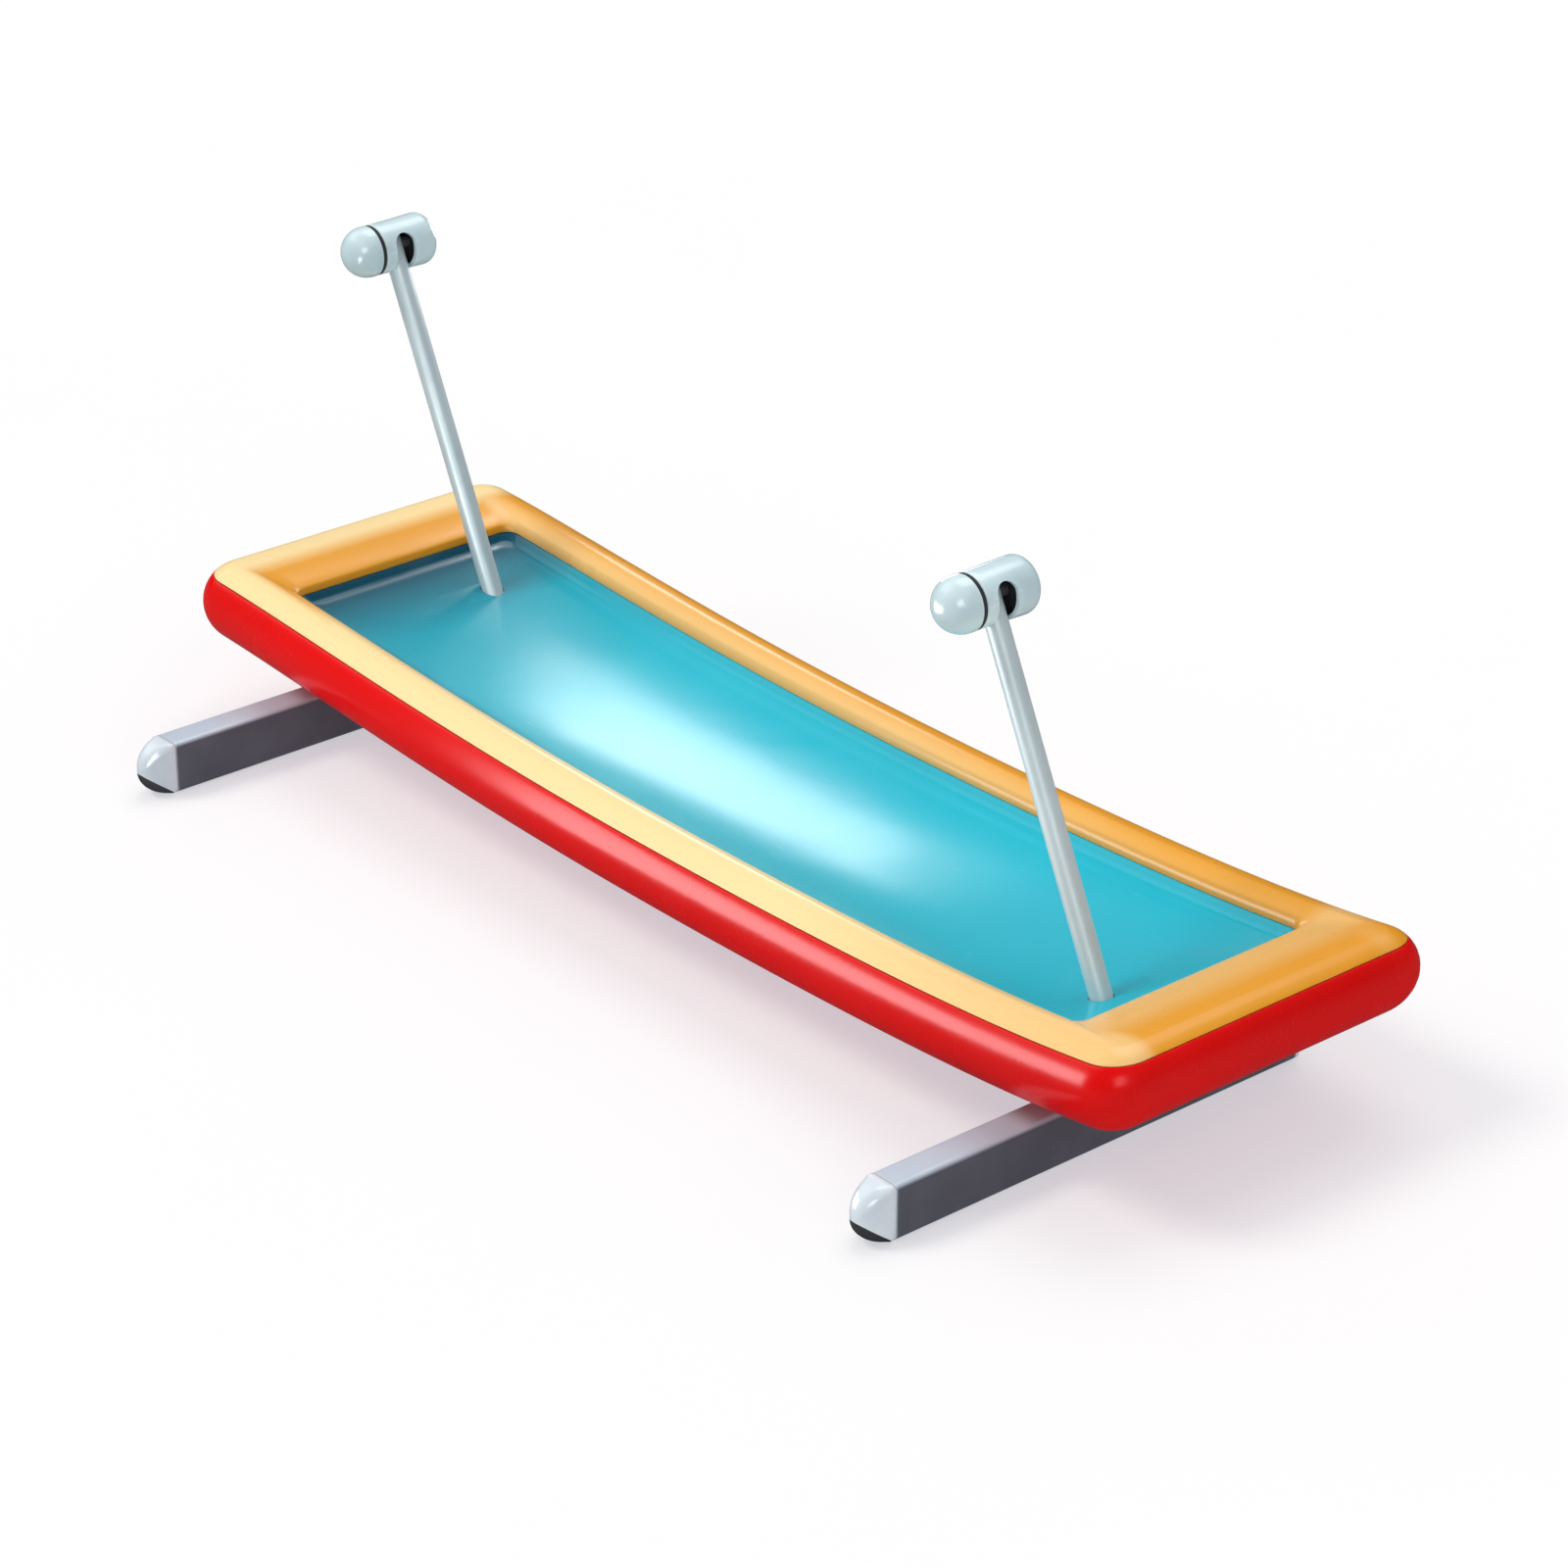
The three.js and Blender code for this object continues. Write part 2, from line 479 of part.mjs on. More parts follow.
for (const h of handles) {
  const handle = new THREE.Group();
  handle.position.set(h.x, h.y, GRIP_Z);
  handle.rotation.y = -rad(LEAN);
  deck.add(handle);
  const tBolt = ROD_L - 10;
  const rod = cut(barZ(ROD_R, -ROD_L, 15, 20), barY(7.5, -20, 20, 16), barY(4.4, -20, 20, 12).translate(0, 0, -tBolt));
  put(handle, h.side + "_handle_rod", rod, ROD_STEEL());
  put(handle, h.side + "_spindle", closed(barY(7, -25.6, 31.5, 16)), ZINC());
  put(handle, h.side + "_grip", gripBarrel.clone(), GRIP_GREY());
  put(handle, h.side + "_grip_cap", gripCap.clone(), GRIP_GREY());
  put(handle, h.side + "_grip_bush", ringOf(7.4, GRIP_BORE - 0.5, 21, 30, 20), NYLON());

  // steel sleeve that stands on the crossmember and holds the rod's foot
  const foot = V3(h.x, h.y, GRIP_Z).addScaledVector(handleDir, ROD_L);
  const floorZ = Math.max(seamZ(foot.x - 20), seamZ(foot.x + 28)) + PLATE_HIGH + 0.4;
  let sleeve = cut(
    alongRod(h, 18, ROD_L - 21, ROD_L + 14, 20),
    alongRod(h, 12.9, ROD_L - 40, ROD_L + 30, 20),
    alongRod(h, 1, 0, 1, 6),
    box(foot.x - 60, foot.x + 60, h.y - 40, h.y + 40, 0, floorZ),
  );
  const b = V3(h.x, h.y, GRIP_Z).addScaledVector(handleDir, tBolt);
  sleeve = cut(sleeve, barY(4.4, -40, 40, 12).translate(b.x, b.y, b.z));
  put(deck, h.side + "_handle_socket", sleeve, DARK_STEEL());
  put(handle, h.side + "_handle_bolt", hexBolt(13, 5.3, 4, 38, 8), ZINC(), 0, 18.6, -tBolt, -Math.PI / 2, 0, 0);
}

export default group;
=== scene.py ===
import math

import bmesh
import bpy
import numpy as np
from mathutils import Matrix, Vector


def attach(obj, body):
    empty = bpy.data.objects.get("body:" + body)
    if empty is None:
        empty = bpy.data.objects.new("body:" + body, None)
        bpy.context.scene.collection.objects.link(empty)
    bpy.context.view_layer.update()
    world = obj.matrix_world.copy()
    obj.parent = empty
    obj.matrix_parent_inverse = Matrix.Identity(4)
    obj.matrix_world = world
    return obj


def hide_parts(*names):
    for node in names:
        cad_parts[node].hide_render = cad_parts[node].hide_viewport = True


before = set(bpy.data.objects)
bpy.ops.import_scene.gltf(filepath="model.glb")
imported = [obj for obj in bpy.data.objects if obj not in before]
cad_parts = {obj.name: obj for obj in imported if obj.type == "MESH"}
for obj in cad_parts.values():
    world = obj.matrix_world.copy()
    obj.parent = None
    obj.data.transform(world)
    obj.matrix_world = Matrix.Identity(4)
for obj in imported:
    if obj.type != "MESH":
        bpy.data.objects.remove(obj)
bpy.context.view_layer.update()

MM = 0.001
PAN_GLOSS = 0.30
scene = bpy.context.scene

# ---------------------------------------------------------------- dimensions, as in the CAD (mm)
LENGTH, WIDTH = 1600.0, 435.0
SEAM_Z, BEND_2, BEND_3, BEND_5 = 149.1, 152.0, -102.0, 629.0
EDGE_R, SEAM_DEG, WALL = 49.0, 45.0, 5.0
OA, OB = 1367 / 2, 323.5 / 2
FOOT_X, FOOT_W, FOOT_H, FOOT_WALL, FOOT_EDGE = 643.0, 40.0, 64.0, 3.0, 7.0
FOOT_NEAR, FOOT_FAR = -378.0, 184.0
CAPS = {"near": (6.0, 34.0), "far": (4.0, 12.0)}
LEAN = math.radians(25.3)
ROD_R, ROD_L = 12.5, 472.0
GRIP_Z = 537.0
GRIP_R, GRIP_BORE, GRIP_WIDE = 31.0, 27.0, 32.0
SLOT_SWEEP = 84.0
HANDLES = {"left": (-781.0, 68.0), "right": (440.0, -68.0)}


def seam(x):
    u = x / LENGTH
    return SEAM_Z + BEND_2 * u**2 + BEND_3 * u**3 + BEND_5 * u**5


# ---------------------------------------------------------------- node-building helpers
class Mat:
    """A small wrapper that keeps node graphs readable."""

    def __init__(self, name):
        self.m = bpy.data.materials.new(name)
        self.m.use_nodes = True
        self.t = self.m.node_tree
        self.t.nodes.clear()
        self.out = self.n("ShaderNodeOutputMaterial")
        self.b = self.n("ShaderNodeBsdfPrincipled")
        self.t.links.new(self.b.outputs[0], self.out.inputs[0])
        self.geo = self.n("ShaderNodeNewGeometry")
        self.co = self.n("ShaderNodeTexCoord")

    def n(self, kind, **props):
        node = self.t.nodes.new(kind)
        for k, v in props.items():
            setattr(node, k, v)
        return node

    def link(self, a, b):
        self.t.links.new(a, b)

    def vec(self, scale=(1, 1, 1), rot=(0, 0, 0)):
        mp = self.n("ShaderNodeMapping")
        mp.inputs["Scale"].default_value = scale
        mp.inputs["Rotation"].default_value = rot
        self.link(self.co.outputs["Object"], mp.inputs["Vector"])
        return mp.outputs[0]

    def noise(self, scale, detail=3.0, rough=0.55, stretch=(1, 1, 1), rot=(0, 0, 0), distortion=0.0):
        t = self.n("ShaderNodeTexNoise")
        t.inputs["Scale"].default_value = scale
        t.inputs["Detail"].default_value = detail
        t.inputs["Roughness"].default_value = rough
        t.inputs["Distortion"].default_value = distortion
        self.link(self.vec(stretch, rot), t.inputs["Vector"])
        return t.outputs["Fac"]

    def voronoi(self, scale, feature="F1", stretch=(1, 1, 1), randomness=1.0):
        t = self.n("ShaderNodeTexVoronoi", feature=feature)
        t.inputs["Scale"].default_value = scale
        t.inputs["Randomness"].default_value = randomness
        self.link(self.vec(stretch), t.inputs["Vector"])
        return t.outputs["Distance"]

    def ramp(self, fac, stops, interpolation="LINEAR"):
        r = self.n("ShaderNodeValToRGB")
        r.color_ramp.interpolation = interpolation
        e = r.color_ramp.elements
        while len(e) > 1:
            e.remove(e[-1])
        for i, (p, c) in enumerate(stops):
            el = e[0] if i == 0 else e.new(p)
            el.position = p
            el.color = (c, c, c, 1) if isinstance(c, (int, float)) else (*c, 1)
        self.link(fac, r.inputs[0])
        return r.outputs[0]

    def mix(self, fac, a, b, kind="MIX"):
        m = self.n("ShaderNodeMix", data_type="RGBA", blend_type=kind)
        for sock, v in ((m.inputs[0], fac), (m.inputs[6], a), (m.inputs[7], b)):
            if isinstance(v, (int, float)):
                sock.default_value = v if sock is m.inputs[0] else (v, v, v, 1)
            elif isinstance(v, tuple):
                sock.default_value = (*v, 1)
            else:
                self.link(v, sock)
        return m.outputs[2]

    def math(self, op, a, b=0.0, clamp=False):
        m = self.n("ShaderNodeMath", operation=op, use_clamp=clamp)
        for sock, v in ((m.inputs[0], a), (m.inputs[1], b)):
            if isinstance(v, (int, float)):
                sock.default_value = v
            else:
                self.link(v, sock)
        return m.outputs[0]

    def bump(self, height, strength, distance, normal=None):
        b = self.n("ShaderNodeBump")
        b.inputs["Strength"].default_value = strength
        b.inputs["Distance"].default_value = distance
        self.link(height, b.inputs["Height"])
        if normal is not None:
            self.link(normal, b.inputs["Normal"])
        return b.outputs[0]

    def set(self, **values):
        for k, v in values.items():
            s = self.b.inputs[k.replace("_", " ")]
            if isinstance(v, (int, float)):
                s.default_value = v
            elif isinstance(v, tuple):
                s.default_value = (*v, 1) if len(v) == 3 and s.type == "RGBA" else v
            else:
                self.link(v, s)
        return self


def srgb(r, g, b):
    def f(c):
        c /= 255.0
        return c / 12.92 if c <= 0.04045 else ((c + 0.055) / 1.055) ** 2.4
    return (f(r), f(g), f(b))


def gloss_shell(name, base, deep, light, rough=0.2, coat=0.6, peel=1.0, spec=0.5, tone=None):
    """Moulded gel-coat: slow colour drift, orange peel, faint hairline scuffs, worn edges."""
    m = Mat(name)
    drift = m.noise(2.2, 3.0, 0.5)
    colour = m.mix(m.ramp(drift, [(0.3, 0.0), (0.72, 1.0)]), base, deep)
    # tone, when given, paints light and shade into the colour by the piece's own position
    if tone:
        colour = tone(m, colour)
    wear = m.ramp(m.geo.outputs["Pointiness"], [(0.515, 0.0), (0.58, 1.0)])
    patch = m.ramp(m.noise(26, 4.0, 0.6), [(0.46, 0.0), (0.66, 1.0)])
    wear = m.math("MULTIPLY", wear, patch)
    colour = m.mix(m.math("MULTIPLY", wear, 0.35), colour, light)
    speck = m.ramp(m.noise(320, 2.0, 0.6), [(0.70, 0.0), (0.78, 1.0)])
    colour = m.mix(m.math("MULTIPLY", speck, 0.10), colour, deep)
    scuff = m.ramp(m.noise(60, 3.0, 0.7, stretch=(0.10, 3.0, 1.0), rot=(0, 0, 0.35)), [(0.64, 0.0), (0.76, 1.0)])
    smudge = m.noise(7.5, 4.0, 0.6)
    r = m.math("ADD", m.math("MULTIPLY", smudge, 0.12), rough - 0.06)
    r = m.math("ADD", r, m.math("MULTIPLY", scuff, 0.06), clamp=True)
    peel_h = m.noise(230, 2.0, 0.5)
    wave = m.noise(16, 2.0, 0.5)
    n = m.bump(wave, 0.10 * peel, 0.004)
    n = m.bump(peel_h, 0.06 * peel, 0.0012, n)
    n = m.bump(scuff, 0.04, 0.0004, n)
    m.set(Base_Color=colour, Roughness=r, Normal=n, IOR=1.5, Coat_Weight=coat, Coat_Roughness=0.14, Specular_IOR_Level=spec)
    return m.m


def steel(name, base, deep, rough=0.32, metallic=0.85, stretch=(1, 1, 1), grain=0.5, shade_on_sides=None):
    """Drawn or brushed steel with fine grain along one direction, mottling, and edges lightened by pointiness for
    rubbed edges and a painted highlight along the rounded edges.
    """
    m = Mat(name)
    mottle = m.noise(9, 5.0, 0.6)
    colour = m.mix(m.ramp(mottle, [(0.3, 0.0), (0.7, 1.0)]), base, deep)
    g = m.noise(420, 2.0, 0.5, stretch=stretch)
    colour = m.mix(m.math("MULTIPLY", m.ramp(g, [(0.35, 0.0), (0.75, 1.0)]), 0.22), colour, deep)
    if shade_on_sides:
        # painted shade: the upright sides, picked by their normal, are painted darker than the lit top
        sep = m.n("ShaderNodeSeparateXYZ")
        m.link(m.geo.outputs["True Normal"], sep.inputs[0])
        coat = m.mix(m.ramp(m.noise(12, 3.0, 0.55), [(0.3, 0.0), (0.7, 1.0)]), shade_on_sides, tuple(c * 0.75 for c in shade_on_sides))
        colour = m.mix(m.ramp(sep.outputs[2], [(0.35, 0.0), (0.75, 1.0)]), coat, colour)
    # edges lightened by pointiness: partly rubbed edges, partly a painted highlight along the rounded edges
    edge = m.ramp(m.geo.outputs["Pointiness"], [(0.52, 0.0), (0.60, 1.0)])
    colour = m.mix(m.math("MULTIPLY", edge, 0.5), colour, tuple(min(1.0, c * 1.5 + 0.05) for c in base))
    spot = m.ramp(m.noise(75, 4.0, 0.65), [(0.66, 0.0), (0.74, 1.0)])
    colour = m.mix(m.math("MULTIPLY", spot, 0.18), colour, tuple(c * 0.6 for c in deep))
    r = m.math("ADD", m.math("MULTIPLY", m.noise(30, 4.0, 0.6), 0.22), rough - 0.10, clamp=True)
    n = m.bump(g, 0.10 * grain, 0.0006)
    n = m.bump(m.noise(40, 3.0, 0.5), 0.06 * grain, 0.002, n)
    m.set(Base_Color=colour, Roughness=r, Normal=n, Metallic=metallic)
    return m.m


def moulded(name, base, deep, rough=0.4, grain=260, strength=0.12, coat=0.0, metallic=0.0):
    """Injection-moulded plastic with a fine spark-eroded texture."""
    m = Mat(name)
    drift = m.noise(14, 3.0, 0.55)
    colour = m.mix(m.ramp(drift, [(0.3, 0.0), (0.7, 1.0)]), base, deep)
    edge = m.ramp(m.geo.outputs["Pointiness"], [(0.52, 0.0), (0.60, 1.0)])
    colour = m.mix(m.math("MULTIPLY", edge, 0.25), colour, tuple(min(1.0, c * 1.25 + 0.03) for c in base))
    r = m.math("ADD", m.math("MULTIPLY", m.noise(36, 3.0, 0.6), 0.14), rough - 0.07, clamp=True)
    n = m.bump(m.noise(grain * 2, 2.0, 0.6), strength, 0.0006)
    m.set(Base_Color=colour, Roughness=r, Normal=n, Coat_Weight=coat, Coat_Roughness=0.15, Metallic=metallic)
    return m.m


def rubber(name, base):
    m = Mat(name)
    drift = m.noise(22, 4.0, 0.6)
    dust = m.ramp(m.noise(60, 4.0, 0.6), [(0.5, 0.0), (0.8, 1.0)])
    colour = m.mix(m.ramp(drift, [(0.3, 0.0), (0.7, 1.0)]), base, tuple(c * 0.6 for c in base))
    colour = m.mix(m.math("MULTIPLY", dust, 0.25), colour, tuple(c * 1.6 + 0.03 for c in base))
    n = m.bump(m.noise(700, 3.0, 0.6), 0.25, 0.0006)
    m.set(Base_Color=colour, Roughness=m.math("ADD", m.math("MULTIPLY", drift, 0.2), 0.6), Normal=n, Specular_IOR_Level=0.35)
    return m.m


def sides(m):
    """The piece's own x and y, in metres."""
    sep = m.n("ShaderNodeSeparateXYZ")
    m.link(m.co.outputs["Object"], sep.inputs[0])
    x, y = sep.outputs[0], sep.outputs[1]
    return x, y, m.math("MULTIPLY", x, -1.0), m.math("MULTIPLY", y, -1.0)


def yellow_painted_highlight(m, colour):
    """Painted highlight: cream sprayed over the near and left outer slopes, and more weakly over the right end and the
    far rim, where the light falls, fading into the orange-yellow.
    """
    x, y, left, near = sides(m)
    a = m.math("MULTIPLY", m.ramp(near, [(0.159, 0.0), (0.174, 0.85), (0.19, 1.0)]), m.ramp(x, [(0.25, 1.0), (0.74, 0.55)]))
    a = m.math("MULTIPLY", a, m.ramp(left, [(0.56, 1.0), (0.69, 0.0)]))
    a = m.math("MAXIMUM", a, m.math("MULTIPLY", m.ramp(near, [(0.178, 0.0), (0.191, 1.0)]), m.ramp(x, [(0.25, 1.0), (0.74, 0.55)])))
    b = m.ramp(left, [(0.726, 0.0), (0.752, 1.0)])
    c = m.math("MULTIPLY", m.ramp(x, [(0.672, 0.0), (0.70, 1.0), (0.732, 0.8), (0.762, 0.0)]), 0.42)
    d = m.math("MULTIPLY", m.ramp(y, [(0.150, 0.0), (0.166, 1.0), (0.178, 0.6), (0.188, 0.0)]), m.ramp(x, [(0.05, 0.55), (0.5, 0.12)]))
    # painted highlight mask: the lit slopes are turned cream
    highlight_mask = m.math("MAXIMUM", m.math("MAXIMUM", a, b), m.math("MAXIMUM", c, d))
    return m.mix(m.math("MULTIPLY", highlight_mask, 0.92), colour, srgb(240, 216, 158))


def teal_painted_shade(m, colour):
    """Painted shade: deep teal sprayed into the left end of the tray and along the left half of its near edge, where
    the rim shades the tray.
    """
    x, y, left, near = sides(m)
    end = m.math("MULTIPLY", m.ramp(left, [(0.34, 0.0), (0.55, 0.30), (0.668, 1.0)]), 0.95)
    rim_side = m.math("MULTIPLY", m.ramp(near, [(0.118, 0.0), (0.150, 1.0)]), m.ramp(left, [(0.05, 0.0), (0.40, 1.0)]))
    deep = m.math("MAXIMUM", end, m.math("MULTIPLY", rim_side, 0.75))
    # painted shade colour, mixed in by the mask
    return m.mix(deep, colour, srgb(2, 66, 88))


M_RED = gloss_shell("red_gelcoat", srgb(224, 0, 0), srgb(208, 0, 0), srgb(240, 40, 32), rough=0.27, coat=0.05, spec=0.22)
M_YELLOW = gloss_shell("yellow_gelcoat", srgb(224, 154, 34), srgb(216, 146, 30), srgb(246, 214, 140), rough=0.29, coat=0.08, spec=0.30, tone=yellow_painted_highlight)
M_TEAL = gloss_shell("teal_gelcoat", srgb(6, 178, 198), srgb(4, 166, 186), srgb(80, 195, 206), rough=0.235, coat=0.10, peel=0.7, spec=0.40, tone=teal_painted_shade)
M_FOOT = steel("foot_steel", (0.50, 0.59, 0.67), (0.44, 0.52, 0.60), rough=0.38, metallic=0.12, stretch=(1, 0.04, 1), shade_on_sides=(0.12, 0.125, 0.155))
M_ROD = steel("rod_steel", (0.62, 0.74, 0.76), (0.53, 0.64, 0.67), rough=0.42, metallic=0.22, stretch=(0.06, 1, 0.06))
M_DARK = steel("dark_steel", (0.085, 0.09, 0.115), (0.055, 0.06, 0.08), rough=0.42, metallic=0.35)
M_ZINC = steel("zinc_steel", (0.62, 0.64, 0.66), (0.50, 0.52, 0.55), rough=0.34, metallic=0.95)
M_GRIP = moulded("grip_plastic", srgb(204, 226, 229), srgb(184, 208, 213), rough=0.24, coat=0.45)
M_CAP = moulded("grey_cap_plastic", srgb(216, 227, 233), srgb(196, 208, 216), rough=0.24, coat=0.45)
M_RUBBER = rubber("black_rubber", (0.035, 0.037, 0.042))
# near-black material painted into the grip bores as shade
M_HOLE_SHADE = rubber("bore_painted_shade", (0.012, 0.014, 0.017))
M_NYLON = moulded("nylon", (0.72, 0.70, 0.64), (0.64, 0.62, 0.56), rough=0.5)


# ---------------------------------------------------------------- mesh helpers
def make(name, verts, faces, mat, sharp=35.0, recalc=True, smooth=True):
    me = bpy.data.meshes.new(name)
    me.from_pydata([tuple(float(c) * MM for c in v) for v in verts], [], faces)
    me.update()
    if recalc:
        bm = bmesh.new()
        bm.from_mesh(me)
        bmesh.ops.remove_doubles(bm, verts=bm.verts, dist=2e-6)
        bmesh.ops.recalc_face_normals(bm, faces=bm.faces)
        bm.to_mesh(me)
        bm.free()
    if smooth:
        me.shade_smooth()
        me.set_sharp_from_angle(angle=math.radians(sharp))
    me.materials.append(mat)
    ob = bpy.data.objects.new(name, me)
    scene.collection.objects.link(ob)
    return ob


def loft(rings, cap0=None, cap1=None, torus=False):
    """Rings of equal length, skinned into quads. cap: 'across' for the deck's rings, 'fan' for small round ends."""
    n = len(rings[0])
    verts = [p for r in rings for p in r]
    faces = []
    rows = len(rings)
    for i in range(rows if torus else rows - 1):
        j = (i + 1) % rows
        for k in range(n):
            l = (k + 1) % n
            faces.append((i * n + k, i * n + l, j * n + l, j * n + k))
    for cap, row in ((cap0, 0), (cap1, rows - 1)):
        if cap == "across":
            for k in range(n // 2 - 1):
                faces.append((row * n + k, row * n + k + 1, row * n + n - 2 - k, row * n + n - 1 - k))
        elif cap == "fan":
            faces.append(tuple(row * n + k for k in range(n)))
    return verts, faces


def deck_ring(a, b, r, z, corner=12, long=96, zf=None):
    pts = []

    def add(x, y):
        pts.append((x, y, seam(x) + (z if zf is None else zf(x, y))))

    def arc(cx, cy, start):
        for i in range(corner + 1):
            t = math.radians(start + 90.0 * i / corner)
            add(cx + r * math.cos(t), cy + r * math.sin(t))

    arc(a - r, b - r, 0)
    for i in range(1, long):
        add((a - r) * (1 - 2 * i / long), b)
    arc(-(a - r), b - r, 90)
    arc(-(a - r), -(b - r), 180)
    for i in range(1, long):
        add(-(a - r) * (1 - 2 * i / long), -b)
    arc(a - r, -(b - r), 270)
    return pts


def spline(rows, steps):
    """Centripetal-like Catmull-Rom through rows of parameters, by chord length."""
    p = np.array(rows, float)
    d = np.concatenate([[0], np.cumsum(np.linalg.norm(np.diff(p[:, [0, 1, 3]], axis=0), axis=1) ** 0.5)])
    out = []
    m = np.zeros_like(p)
    for i in range(len(p)):
        a, b = max(i - 1, 0), min(i + 1, len(p) - 1)
        m[i] = (p[b] - p[a]) / (d[b] - d[a])
    for i in range(len(p) - 1):
        h = d[i + 1] - d[i]
        for k in range(steps):
            t = k / steps
            out.append((2 * t**3 - 3 * t**2 + 1) * p[i] + (t**3 - 2 * t**2 + t) * h * m[i] + (-2 * t**3 + 3 * t**2) * p[i + 1] + (t**3 - t**2) * h * m[i + 1])
    out.append(p[-1])
    return [tuple(r) for r in out]


def apply_modifiers(ob):
    dg = bpy.context.evaluated_depsgraph_get()
    me = bpy.data.meshes.new_from_object(ob.evaluated_get(dg))
    old = ob.data
    ob.modifiers.clear()
    ob.data = me
    me.name = ob.name
    if old.users == 0:
        bpy.data.meshes.remove(old)


def boolean(ob, cutter, op="DIFFERENCE", sharp=35.0):
    mod = ob.modifiers.new("cut", "BOOLEAN")
    mod.object = cutter
    mod.operation = op
    mod.solver = "EXACT"
    apply_modifiers(ob)
    me = cutter.data
    bpy.data.objects.remove(cutter)
    bpy.data.meshes.remove(me)
    ob.data.shade_smooth()
    ob.data.set_sharp_from_angle(angle=math.radians(sharp))


def circle(r, n, plane="xy", at=0.0):
    pts = []
    for i in range(n):
        t = 2 * math.pi * i / n
        c, s = r * math.cos(t), r * math.sin(t)
        pts.append({"xy": (c, s, at), "xz": (c, at, s), "yz": (at, c, s)}[plane])
    return pts


def rounded_rect(w, h, r, n):
    pts = []
    for cx, cy, st in ((w / 2 - r, h / 2 - r, 0), (-(w / 2 - r), h / 2 - r, 90), (-(w / 2 - r), -(h / 2 - r), 180), (w / 2 - r, -(h / 2 - r), 270)):
        for i in range(n + 1):
            t = math.radians(st + 90.0 * i / n)
            pts.append((cx + r * math.cos(t), cy + r * math.sin(t)))
    return pts


def place(ob, matrix):
    ob.data.transform(matrix)
    ob.data.update()


def handle_matrix(side):
    x, y = HANDLES[side]
    return Matrix.Translation((x * MM, y * MM, GRIP_Z * MM)) @ Matrix.Rotation(-LEAN, 4, "Y")


def cylinder(name, r, z0, z1, n, mat):
    v, f = loft([circle(r, n, "xy", z0), circle(r, n, "xy", z1)], "fan", "fan")
    return make(name, v, f, mat)


# ---------------------------------------------------------------- deck shells
A0 = LENGTH / 2 - EDGE_R * math.cos(math.radians(SEAM_DEG))
B0 = WIDTH / 2 - EDGE_R * math.cos(math.radians(SEAM_DEG))
Z0 = -EDGE_R * math.sin(math.radians(SEAM_DEG))


def edge(radius, deg):
    c, s = radius * math.cos(math.radians(deg)), radius * math.sin(math.radians(deg))
    return (A0 + c, B0 + c, 4 + c, Z0 + s)


hull_rows = [edge(EDGE_R, d) for d in np.linspace(-90, SEAM_DEG - 1.3, 34)]
hull_rows += [edge(EDGE_R - 0.15, SEAM_DEG - 0.7), edge(EDGE_R - 0.7, SEAM_DEG - 0.25), edge(EDGE_R - 1.6, SEAM_DEG - 0.1), edge(EDGE_R - WALL, SEAM_DEG - 0.1)]
hull_rows += [edge(EDGE_R - WALL, d) for d in np.linspace(35, -90, 10)]
v, f = loft([deck_ring(*r) for r in hull_rows], "across", "across")
hull = make("hull_shell_skin", v, f, M_RED)


def box_obj(name, x0, x1, y0, y1, z0, z1):
    v = [(x, y, z) for x in (x0, x1) for y in (y0, y1) for z in (z0, z1)]
    f = [(0, 1, 3, 2), (4, 6, 7, 5), (0, 4, 5, 1), (2, 3, 7, 6), (0, 2, 6, 4), (1, 5, 7, 3)]
    return make(name, v, f, M_DARK, smooth=False)


boolean(hull, box_obj("cut", -26, 26, -90, 90, 40, 90))
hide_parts("hull_shell")
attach(hull, "deck")

s46 = SEAM_DEG + 0.6
rim_outer = [edge(EDGE_R, d) for d in (SEAM_DEG + 2.0, 53, 61, 69, 77)] + [
    (752, 184, 14, 14.3),
    (722, 174.5, 16, 11.2),
    (698, 167.2, 18, 6.6),
    (OA + 3.6, OB + 2.2, 18, 2.2),
    (OA + 0.9, OB + 0.6, 18, -2.0),
    (OA, OB, 18, -5.6),
]
rim_rows = [edge(EDGE_R - WALL, s46), edge(EDGE_R - 1.6, s46), edge(EDGE_R - 0.7, s46 + 0.15), edge(EDGE_R - 0.15, s46 + 0.6)]
rim_rows += spline(rim_outer, 5)
rim_rows += [(OA + 0.15, OB + 0.15, 18, -6.6), (OA + 0.8, OB + 0.8, 18.6, -7.0), (OA + 3.8, OB + 3.8, 20, -7.0), (OA + 4.4, OB + 4.4, 20, -6.4)]
rim_rows += [(OA + 6.2, OB + 5.2, 20, -2.6), (694, 170.2, 17, 1.0), (722, 177.4, 15, 6.5), (752, 185.6, 13, 9.7), edge(EDGE_R - WALL, 77), edge(EDGE_R - WALL, 61)]
v, f = loft([deck_ring(*r) for r in rim_rows], torus=True)
rim = make("rim_cover_skin", v, f, M_YELLOW)
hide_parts("rim_cover")
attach(rim, "deck")


def pan_floor(x, y, drop=0.0):
    gx = 1 - min(1.0, abs(x) / 673.0) ** 4.5
    gy = 1 - min(1.0, abs(y) / 151.5) ** 2.2
    return -17.0 - 25.0 * gx * gy - drop


